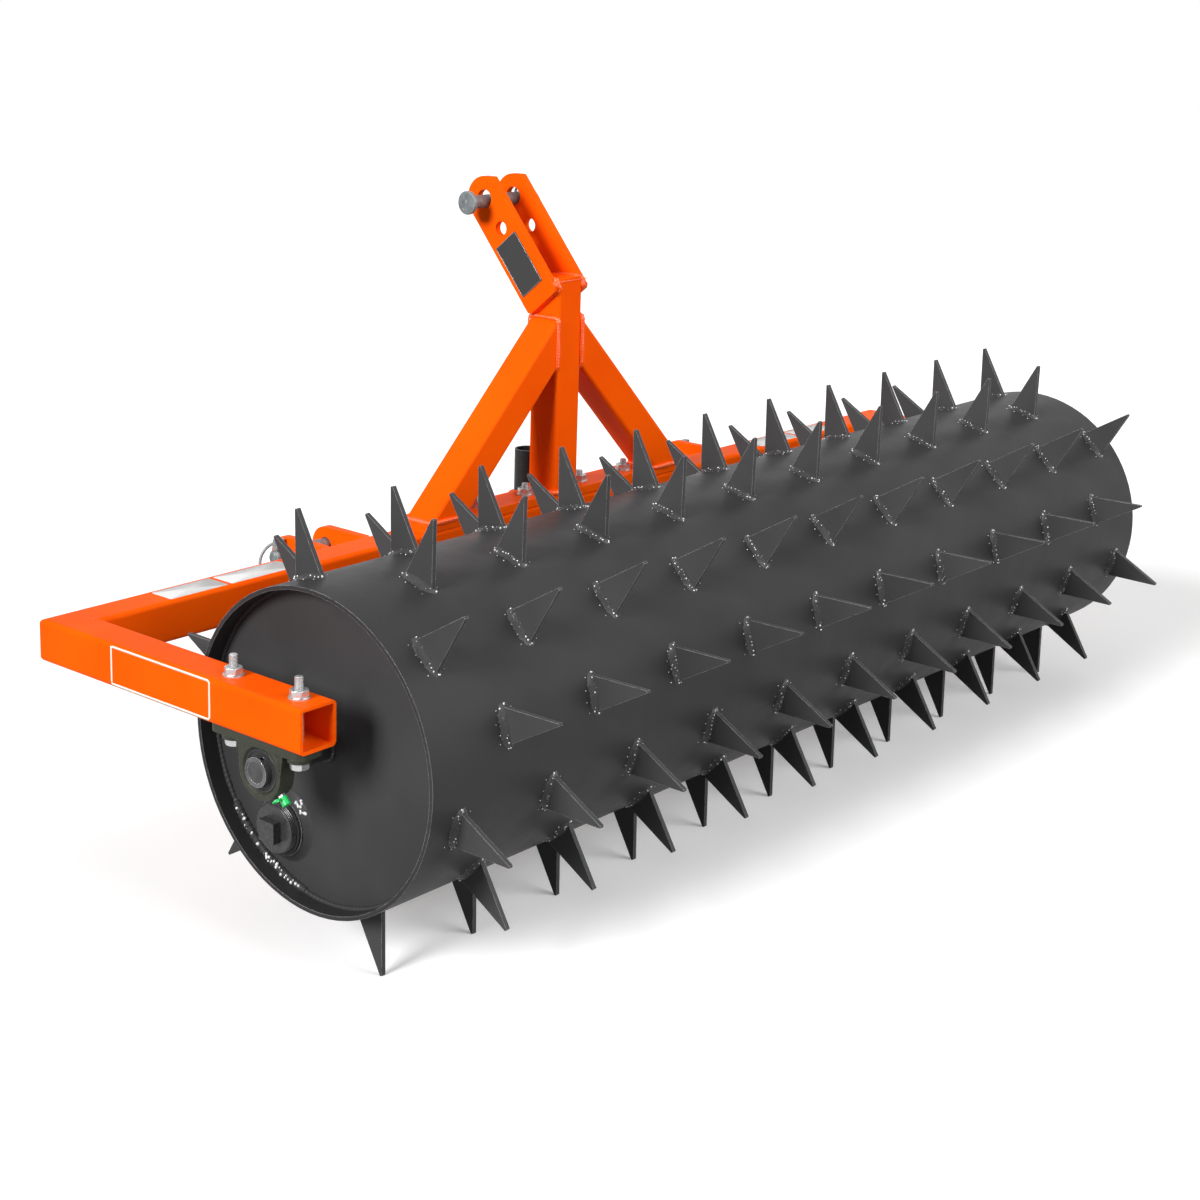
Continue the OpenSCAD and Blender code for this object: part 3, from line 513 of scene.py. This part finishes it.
def roundedOutline(halfA, halfB, corner, turns=6):
    # rectangle with each corner a quarter circle
    angle = np.linspace(0, math.pi / 2, turns)
    centres = np.array([[1, 1], [-1, 1], [-1, -1], [1, -1]]) * [halfA - corner, halfB - corner]
    parts = [c + corner * np.stack([np.cos(angle + i * math.pi / 2), np.sin(angle + i * math.pi / 2)], 1)
             for i, c in enumerate(centres)]
    return np.concatenate(parts)


def outlineIn(origin, sideA, sideB, outline):
    origin, sideA, sideB = (np.asarray(each, float) for each in (origin, sideA, sideB))
    return origin + outline[:, :1] * sideA + outline[:, 1:] * sideB


def sweep(path, upward, profile, scale, closed):
    # a profile carried along a path: its two numbers go along the side and upward directions
    tangent = np.roll(path, -1, 0) - np.roll(path, 1, 0) if closed else np.gradient(path, axis=0)
    side = np.cross(tangent, np.broadcast_to(upward, path.shape))
    side /= np.linalg.norm(side, axis=1, keepdims=True)
    upright = np.cross(side, tangent)
    upright /= np.linalg.norm(upright, axis=1, keepdims=True)
    spread = profile[None] * scale[:, None, None]
    return path[:, None] + spread[..., :1] * side[:, None] + spread[..., 1:] * upright[:, None]


def circle(radius, sides):
    turn = np.linspace(0, 2 * math.pi, sides, endpoint=False)
    return radius * np.stack([np.cos(turn), np.sin(turn)], 1)


def ripples(run, pitch, shift):
    # a weld's scallops: a sine for each puddle, and two slow ones for an unsteady hand
    puddles = 0.13 * np.sin(2 * math.pi * run / pitch + shift)
    slow = 0.08 * np.sin(run / pitch / 1.7 + 3 * shift)
    return 1 + puddles + slow + 0.06 * np.sin(run / pitch * 0.61 + shift)


def bead(points, upward, radius, closed=True, pitch=4.5, sides=8, shift=0.0):
    # a round weld along a line, which ends in a half ball where the line isn't closed
    path, run = evenly(np.asarray(points, float), pitch / 3.5, closed)
    scale = ripples(run, pitch, shift)
    if not closed:
        end = np.clip(np.minimum(run, run[-1] - run) / (1.2 * radius), 0, 1)
        scale = scale * np.sqrt(1 - (1 - end) ** 2)
    return sweep(path, np.asarray(upward, float), circle(radius, sides), scale, closed)[None], closed, True


def ringPoints(x, radius, count=120):
    # a circle about the drum's axis
    turn = np.linspace(0, 2 * math.pi, count, endpoint=False)
    return np.stack([np.full(count, x), radius * np.cos(turn), radius * np.sin(turn)], 1)


def ballsAt(centres, radii):
    # small balls: rows run from pole to pole, columns round
    rise = np.linspace(0, math.pi, 4)
    turn = np.linspace(0, 2 * math.pi, 6, endpoint=False)
    out = np.sin(rise)[:, None]
    unit = np.stack(np.broadcast_arrays(out * np.cos(turn), out * np.sin(turn), np.cos(rise)[:, None]), -1)
    return centres[:, None, None] + unit[None] * radii[:, None, None, None], False, True


# welds on the drum
drumShape = {
    "radius": 190,
    "innerRadius": 185,
    "plateFace": 772.5,
    "rows": 12,
    "longRow": 11,
    "firstRow": -15,
    "pitch": 150,
    "spikeBase": (43.5, 6),
}
filletShape = {
    "high": 5.4,
    "wide": 4.5,
    "wider": (6, 3),  # more at the middle of the left side, and of the right one
    "taper": 8,
    "share": (-0.14, 0.08, 0.3, 0.62, 1),
    "rise": (1, 0.84, 0.46, 0.16, -0.1),
}
# along the sides: how many, which side, how far out, how far past the ends and how big
dropShape = {
    "seed": 5,
    "sides": [
        (9, -1, (1, 4.2), 0, (0.55, 1.35)),
        (4, 1, (1, 3.6), 0, (0.5, 1.1)),
        (4, -1, (9, 15), 4, (0.4, 0.8)),
        (3, 1, (7, 12), 4, (0.4, 0.7)),
    ],
    "ends": (2, (1, 3.4), (0.6, 1.3)),
}
rimShape = {
    "bead": 3.4,
    "heavy": (279, 326),  # degrees that turn from +Y by way of the top
    "heavyBead": 5.6,
    "seed": 8,
    "drops": 46,
    "dropRadius": (1, 2.5),
}
bungShape = {
    "centre": (64.5, -109),
    "radius": 35,
    "wide": 9.8,
    "high": 8.6,
    "drops": 16,
    "dropTurn": (120, 148),
}
shaftBead = {"ring": 13, "radius": 3}


def spikePlaces(shape):
    turn, along = [], []
    for index in range(shape["rows"]):
        count = shape["longRow"] - index % 2
        turn.append(np.full(count, math.radians(shape["firstRow"] + 360 / shape["rows"] * index)))
        along.append((np.arange(count) - (count - 1) / 2) * shape["pitch"])
    return np.concatenate(turn), np.concatenate(along)


def bendOnDrum(local, turn, along, radius):
    # local x runs round the drum, y along it and z outwards, in millimetres from a spike's foot
    angle = turn - local[..., 0] / radius
    reach = radius + local[..., 2]
    return np.stack([along + local[..., 1], -np.sin(angle) * reach, np.cos(angle) * reach], -1)


def spikeWelds(shape, fillet):
    # a low fillet round each spike's foot, widest on the left, with a ripple for each puddle:
    # its shares of the width and of the height step outwards together, from spike to drum
    turn, along = spikePlaces(shape)
    halfA, halfB = (size / 2 for size in shape["spikeBase"])
    outline = roundedOutline(halfA, halfB, 1, 3)
    path, run = evenly(np.concatenate([outline, np.zeros((len(outline), 1))], 1), 2.4, True)
    out = np.cross(np.roll(path, -1, 0) - np.roll(path, 1, 0), (0, 0, 1.0))
    out /= np.linalg.norm(out, axis=1, keepdims=True)
    broad = np.clip((halfA - np.abs(path[:, 0])) / fillet["taper"], 0, 1)
    extra = broad * np.where(path[:, 1] < 0, *fillet["wider"])
    phase = np.arange(len(turn))[:, None]
    wide = (fillet["wide"] + extra) * ripples(run[None], 6.5, phase * 2.4)
    high = fillet["high"] * (0.6 + 0.4 * broad) * ripples(run[None], 5.2, phase * 1.7)
    offset = wide[..., None, None] * np.array(fillet["share"])[:, None] * out[None, :, None]
    local = path[None, :, None] + offset
    local[..., 2] = high[..., None] * np.array(fillet["rise"])
    return bendOnDrum(local, turn[:, None, None], along[:, None, None], shape["radius"]), True, False


def spikeSpatter(shape, drops):
    # drops in a row along the left fillet, fewer on the right one, at both ends, and some loose on the drum:
    # white as painted glints, most of them on the left side, where the light falls
    dice = np.random.default_rng(drops["seed"])
    turn, along = spikePlaces(shape)
    halfA, halfB = (size / 2 for size in shape["spikeBase"])
    parts, sizes = [], []
    for each, side, reach, past, radius in drops["sides"]:
        step = (np.arange(each) + 0.5) / each * 2 - 1
        out = dice.uniform(*reach, (len(turn), each))
        x = step * (halfA + past) + dice.uniform(-2, 2, out.shape)
        rise = np.maximum(4.3 - out * 0.85, 0.1)
        parts.append(np.stack([x, side * (halfB + out), rise], -1))
        sizes.append(dice.uniform(*radius, out.shape))
    each, reach, radius = drops["ends"]
    for end in (-1, 1):
        out = dice.uniform(*reach, (len(turn), each))
        parts.append(np.stack([end * (halfA + out), dice.uniform(-4, 2, out.shape), 2.6 - out * 0.6], -1))
        sizes.append(dice.uniform(*radius, out.shape))
    local = np.concatenate(parts, 1)
    centres = bendOnDrum(local, turn[:, None], along[:, None], shape["radius"]).reshape(-1, 3)
    return ballsAt(centres, np.concatenate(sizes, 1).reshape(-1))


def rimWelds(shape, rim, side):
    # a bead round the end plate, and a thicker one over the part of it that was built up
    x = side * shape["plateFace"]
    line = ringPoints(x + side * 0.6, shape["innerRadius"] - 0.8, 360)
    turn = np.radians(np.linspace(*rim["heavy"], 60))
    reach = shape["innerRadius"] - 2
    part = np.stack([np.full(60, x + side), reach * np.cos(turn), reach * np.sin(turn)], 1)
    return (bead(line, (side, 0, 0), rim["bead"], pitch=6, shift=side),
            bead(part, (side, 0, 0), rim["heavyBead"], closed=False, pitch=7, sides=10, shift=side))


def bungWeld(shape, bung):
    # a hollow ring: its rise falls as a power of the share of the way out, from the bung to the plate
    (y, z), radius = bung["centre"], bung["radius"]
    turn = np.linspace(0, 2 * math.pi, 110, endpoint=False)[:, None]
    share = np.linspace(0, 1, 7)
    wave = ripples(turn * radius, 7, 0.4)
    out = radius - 0.4 + share * bung["wide"] * (0.8 + 0.2 * wave)
    rise = bung["high"] * (1 - share) ** 1.35 * (0.85 + 0.1 * wave) - 0.2
    sheet = np.stack([-shape["plateFace"] - rise, y + out * np.cos(turn), z + out * np.sin(turn)], -1)
    return sheet[None], True, False


def plateSpatter(shape, rim, bung):
    # white drops as painted glints on the heavy part of each rim weld, and at the upper right of the bung
    # weld, where the light catches
    dice = np.random.default_rng(rim["seed"])
    face, count = -shape["plateFace"], rim["drops"]
    start, end = rim["heavy"]
    turn = np.radians(dice.uniform(start + 3, end - 3, count))
    out = shape["innerRadius"] - dice.uniform(1, 8, count)
    left = np.stack([face - dice.uniform(4, 6, count), out * np.cos(turn), out * np.sin(turn)], 1)
    sizes = dice.uniform(*rim["dropRadius"], 2 * count + bung["drops"])
    turn = np.radians(dice.uniform(*bung["dropTurn"], bung["drops"]))
    out = dice.uniform(2, 8, bung["drops"])
    (y, z), reach = bung["centre"], bung["radius"] + out
    near = np.stack([face - 7.2 + out * 0.85, y + reach * np.cos(turn), z + reach * np.sin(turn)], 1)
    return ballsAt(np.concatenate([left, near, left * [-1, 1, 1]]), sizes)


def onDrum(name, sheets, finish):
    makePiece(name, sheets, finish, "drum")


ends = [rimWelds(drumShape, rimShape, side) for side in (-1, 1)]
onDrum("spike_welds", [spikeWelds(drumShape, filletShape)], darkWeld)
onDrum("rim_welds", [end[part] for part in (0, 1) for end in ends], finishes["drum_paint"])
onDrum("bung_weld", [bungWeld(drumShape, bungShape)], finishes["drum_paint"])
onDrum("shaft_welds", [
    bead(ringPoints(side * (drumShape["plateFace"] + 0.5), shaftBead["ring"]), (side, 0, 0),
         shaftBead["radius"], pitch=5) for side in (-1, 1)], darkWeld)
# white drops on the drum's welds, as painted glints
onDrum("weld_spatter_glints", [
    spikeSpatter(drumShape, dropShape), plateSpatter(drumShape, rimShape, bungShape)], glintSpatter)
print("welds laid on the drum")

# welds on the frame
frameShape = {
    "tube": 52,
    "corner": 6,
    "armX": 860,
    "barY": 341,
    "tubeZ": 68,
    "baseTop": 106,
    "postTop": 418,
    "braceFoot": 244.23,
    "beadRadius": 3.6,
    "mitreBead": 1.7,
    "capBead": 1.3,
}
flat = ((1, 0, 0), (0, 1, 0))  # the two directions of a section that lies level


def frameWelds(shape):
    half, corner, bar = shape["tube"] / 2, shape["corner"], shape["barY"]
    top, mid = shape["baseTop"], shape["tubeZ"]
    small = shape["beadRadius"]
    beads = []
    for side in (-1, 1):
        outer = side * shape["armX"]
        # mitre: the tube's section on the slant, ground nearly flush
        ground = roundedOutline(half - 2, half - 2, corner)
        section = outlineIn((outer, bar, mid), (side, 1, 0), (0, 0, 1), ground)
        beads.append(bead(section, (1, side * -1, 0), shape["mitreBead"], pitch=5))
        # inside of the mitre: a fillet down the corner
        inner = (outer - side * half - side * 0.8, bar - half - 0.8)
        beads.append(bead([(*inner, mid - half + 3), (*inner, mid + half - 2)],
                          (-side, -1, 0), small + 1, closed=False, pitch=5))
        # feet and tops of the braces
        cut = half * math.sqrt(2)
        foot = side * shape["braceFoot"]
        slant = roundedOutline(cut + 0.5, half + 0.5, corner)
        beads.append(bead(outlineIn((foot, bar, top + 0.6), *flat, slant), (0, 0, 1), small))
        head = (side * (half + 0.2), bar, top + shape["braceFoot"] - half)
        beads.append(bead(outlineIn(head, (0, 0, 1), (0, 1, 0), slant), (side, 0, 0), small))
    for z, more, radius in ((top + 0.6, 0.6, small), (shape["postTop"] - 4, -0.7, shape["capBead"])):
        section = outlineIn((0, bar, z), *flat, roundedOutline(half + more, half + more, corner))
        beads.append(bead(section, (0, 0, 1), radius))
    return beads


clevisShape = {
    "foot": [(314.8, 403), (315.4, 400.6), (337, 382.5), (358.6, 364.2), (363.8, 364.4)],
    "footBead": 1.7,
    "corner": (366, 369, 414),
    "top": (24.5, (322, 364), 417.4),
    "bead": 2.8,
    "lumps": [(25.5, (402, 419.5), 4.6), (31, (405, 416), 3.8)],
    "rearEdge": (314.6, 404, 0.55),  # its y at a height, and how y grows with height
}


def clevisWelds(shape, clevis):
    # along each clevis plate's foot, up the post's front corner and along its top,
    # and in lumps where the plate's rear edge crosses that top
    beads = []
    edgeY, edgeZ, slope = clevis["rearEdge"]
    for side in (-1, 1):
        x = side * (shape["tube"] / 2 + 0.4)
        foot = [(x, *point) for point in clevis["foot"]]
        beads.append(bead(foot, (side, 0, 0), clevis["footBead"], closed=False, pitch=3.5))
        x, (y, low, high) = side * (shape["tube"] / 2 - 1.2), clevis["corner"]
        corner = [(x, y, low), (x, y, high)]
        beads.append(bead(corner, (side, 0.5, 0), clevis["bead"], closed=False, shift=side))
        x, ys, z = clevis["top"]
        beads.append(bead([(side * x, y, z) for y in ys], (0, 0, 1), clevis["bead"], closed=False))
        for x, (low, high), radius in clevis["lumps"]:
            line = [(side * x, edgeY + (z - edgeZ) * slope, z) for z in (low, (low + high) / 2, high)]
            beads.append(bead(line, (side, 0, 0), radius, closed=False, pitch=6, shift=side * radius))
    return beads


lugShape = {"x": (429, 354), "face": 367.2, "thick": 6.6, "bead": 3.2}


def lugWelds(shape, lug):
    # round the root of each lug on the front face of the bar
    beads = []
    root = roundedOutline(lug["thick"], shape["tube"] / 2 - 4, 2)
    for x in [side * x for side in (-1, 1) for x in lug["x"]]:
        place = (x, lug["face"], shape["tubeZ"])
        beads.append(bead(outlineIn(place, (1, 0, 0), (0, 0, 1), root), (0, 1, 0), lug["bead"]))
    return beads


sleeveShape = {
    "reach": 12.5,
    "root": (368, (45, 88.5)),
    "bead": 3.2,
    "y": 391,
    "radius": 26.5,
    "nutReach": 10.6,
    "nutZ": 7,
    "nutBead": 1.8,
}


def sleeveWelds(sleeve):
    # down both sides where the sleeve meets the bar, and round the nut on the sleeve's curve
    beads = []
    y, heights = sleeve["root"]
    for side in (-1, 1):
        x = side * sleeve["reach"]
        beads.append(bead([(x, y, z) for z in heights], (side, 0.6, 0), sleeve["bead"], closed=False))
    turn = np.linspace(0, 2 * math.pi, 60, endpoint=False)
    x, z = sleeve["nutReach"] * np.cos(turn), sleeve["nutReach"] * np.sin(turn)
    front = sleeve["y"] + np.sqrt(sleeve["radius"] ** 2 - x ** 2)
    ring = np.stack([x, front, sleeve["nutZ"] + z], 1)
    beads.append(bead(ring, (0, 1, 0), sleeve["nutBead"], pitch=3.5))
    return beads


legShape = {"y": 391, "radius": 19.6, "z": -252.9, "bead": 2.6}


def legWeld(leg):
    # a ring where the leg stands on the ground plate
    turn = np.linspace(0, 2 * math.pi, 60, endpoint=False)
    x, y = leg["radius"] * np.cos(turn), leg["y"] + leg["radius"] * np.sin(turn)
    return bead(np.stack([x, y, np.full(60, leg["z"])], 1), (0, 0, 1), leg["bead"])


cornerDrops = {
    "seed": 3,
    "count": 16,
    "height": (50, 86),
    "onBar": (3, 24),
    "onArm": (4, 26),
    "onTop": ((2, 18), (8, 30)),
    "top": 94.0,
    "barFace": 315,
    "radius": (0.5, 1.3),
}
clevisDrops = {"count": 12, "x": (21, 33), "y": (310, 316), "z": (399, 416)}


def frameSpatter(shape, corner, clevis):
    # drops of paint-covered spatter beside the corner welds and the clevis plates
    dice = np.random.default_rng(corner["seed"])
    count, many = corner["count"], clevis["count"]
    bar, half = shape["barY"], shape["tube"] / 2
    acrossTop, alongTop = corner["onTop"]
    centres = []
    for side in (-1, 1):
        inner = side * (shape["armX"] - half)
        x = inner - side * dice.uniform(*corner["onBar"], count)
        centres.append([x, np.full(count, bar - half), dice.uniform(*corner["height"], count)])
        y = corner["barFace"] - dice.uniform(*corner["onArm"], count)
        centres.append([np.full(count, float(inner)), y, dice.uniform(*corner["height"], count)])
        x = side * (shape["armX"] - dice.uniform(*acrossTop, count))
        centres.append([x, bar - dice.uniform(*alongTop, count), np.full(count, corner["top"])])
        x = side * dice.uniform(*clevis["x"], many)
        centres.append([x, dice.uniform(*clevis["y"], many), dice.uniform(*clevis["z"], many)])
    centres = np.concatenate([np.stack(each, 1) for each in centres])
    return ballsAt(centres, dice.uniform(*corner["radius"], len(centres)))


for name, beads in {
    "frame_welds": frameWelds(frameShape),
    "clevis_welds": clevisWelds(frameShape, clevisShape),
    "lug_welds": lugWelds(frameShape, lugShape),
    "sleeve_welds": sleeveWelds(sleeveShape),
}.items():
    makePiece(name, beads, orangeWeld, "frame")
makePiece("leg_weld", [legWeld(legShape)], finishes["black_steel"], "stand")
makePiece("frame_spatter", [
    frameSpatter(frameShape, cornerDrops, clevisDrops)], orangeWeld, "frame")
print("welds laid on the frame and the stand")


def label(centre, sideA, sideB, outward, outline, thick):
    # a thin blank sheet: each row is the outline at a height and a share of its size
    centre, outward = np.asarray(centre, float), np.asarray(outward, float)
    steps = ((0, 0), (0, 1), (thick * 0.8, 1), (thick, 0.992), (thick, 0.5), (thick, 0))
    rows = [outlineIn(centre + outward * lift, sideA, sideB, outline * share) for lift, share in steps]
    return np.stack(rows)[None], False, True


def band(centre, sideA, sideB, outward, outline, wide, thick):
    # a flat line carried round an outline
    path = evenly(outlineIn(centre, sideA, sideB, outline), 4, True)[0]
    half = wide / 2
    profile = np.array([[-half, -0.02], [half, -0.02], [half - 0.1, thick], [-half + 0.1, thick]])
    return sweep(path, np.asarray(outward, float), profile, np.ones(len(path)), True)[None], True, True


barLabels = {
    "places": [(-682, 91), (-576, 109), (551, 109), (657, 91)],  # the middle along the bar, and the length
    "y": 339.5,
    "z": 94,
    "wide": 38,
    "corner": 2.5,
    "thick": 0.15,
}
armOutline = {"x": -886, "y": (63, 233), "z": (46.5, 91), "corner": 0.6, "line": 3, "thick": 0.15}
plateBorder = {
    "centre": (-37, 383.06, 432.96),
    "half": (22.2, 41.2),
    "corner": 1.2,
    "line": 0.9,
    "thick": 0.12,
    "lean": 40,  # degrees: the clevis plates lean forward from the post
}


def barLabel(setting, x, long):
    outline = roundedOutline(long / 2, setting["wide"] / 2, setting["corner"])
    return label((x, setting["y"], setting["z"]), *flat, (0, 0, 1), outline, setting["thick"])


def outlineOnArm(setting):
    (nearY, farY), (lowZ, highZ) = setting["y"], setting["z"]
    outline = roundedOutline((farY - nearY) / 2, (highZ - lowZ) / 2, setting["corner"], 3)
    centre = (setting["x"], (nearY + farY) / 2, (lowZ + highZ) / 2)
    return band(centre, (0, 1, 0), (0, 0, 1), (-1, 0, 0), outline, setting["line"], setting["thick"])


def borderOnPlate(setting):
    lean = math.radians(setting["lean"])
    sides = (0, math.cos(lean), -math.sin(lean)), (0, math.sin(lean), math.cos(lean))
    outline = roundedOutline(*setting["half"], setting["corner"], 4)
    return band(setting["centre"], *sides, (-1, 0, 0), outline, setting["line"], setting["thick"])


makePiece("blank_labels", [barLabel(barLabels, *place) for place in barLabels["places"]],
          blankVinyl, "frame")
makePiece("arm_outline", [outlineOnArm(armOutline)], creamVinyl, "frame")
makePiece("data_plate_border", [borderOnPlate(plateBorder)], brightBorder, "frame")
print("blank labels laid")

# floor, light and world
studio = {
    "floor": 14,
    "floorTone": 0.93,
    "floorBounce": 0.3,
    "floorMirrored": 0.5,
    "floorLift": 0.2,
    "lamps": {  # where each comes from, its strength and how wide it looks, in degrees
        "softKey": ((-0.9, 0.02, 0.46), 3.9, 22),
        "softTop": ((-0.05, 0.3, 1), 0.5, 70),
        "softFill": ((0.3, -0.86, 0.45), 2.5, 50),
    },
    "world": 0.14,
}


def addFloor(setting):
    half = setting["floor"]
    mesh = bpy.data.meshes.new("floor")
    corners = [(-half, -half, 0), (half, -half, 0), (half, half, 0), (-half, half, 0)]
    mesh.from_pydata(corners, [], [(0, 1, 2, 3)])
    floor = bpy.data.objects.new("floor", mesh)
    bpy.context.scene.collection.objects.link(floor)
    tree = newTree("paleFloor")
    pale, bounced = ((setting[key],) * 3 + (1,) for key in ("floorTone", "floorBounce"))
    seen = tree.node("ShaderNodeLightPath", out="Is Camera Ray")
    mirrored = tree.node("ShaderNodeLightPath", out="Is Glossy Ray")
    tree.surface(
        Base_Color=tree.mix(seen + mirrored * setting["floorMirrored"], bounced, pale),
        Roughness=0.9,
        Emission_Color=(1, 1, 1, 1),
        Emission_Strength=(seen + mirrored) * setting["floorLift"],
        Specular_IOR_Level=0.0,
    )
    mesh.materials.append(tree.owner)


def addLamp(name, source, strength, width):
    sun = bpy.data.lights.new(name, "SUN")
    sun.energy, sun.angle = strength, math.radians(width)
    lamp = bpy.data.objects.new(name, sun)
    lamp.matrix_world = Vector(source).to_track_quat("Z", "Y").to_matrix().to_4x4()
    bpy.context.scene.collection.objects.link(lamp)


def addWorld(setting):
    world = bpy.data.worlds.new("paleStudio")
    bpy.context.scene.world = world
    tree = Tree(world)
    kinds = [tree.node("ShaderNodeLightPath", out=f"Is {kind} Ray")
             for kind in ("Camera", "Glossy", "Transmission")]
    shown = tree.node("ShaderNodeMath", {"operation": "MAXIMUM"}, {0: kinds[0], 1: kinds[1] + kinds[2]})
    strength = shown * (1 - setting["world"]) + setting["world"]
    sky = tree.node("ShaderNodeBackground", {}, {"Color": (1, 1, 1, 1), "Strength": strength})
    tree.node("ShaderNodeOutputWorld", {}, {"Surface": sky})


addFloor(studio)
for name, lamp in studio["lamps"].items():
    addLamp(name, *lamp)
addWorld(studio)
bpy.context.scene.view_settings.view_transform = "Standard"
print("floor, light and world set")
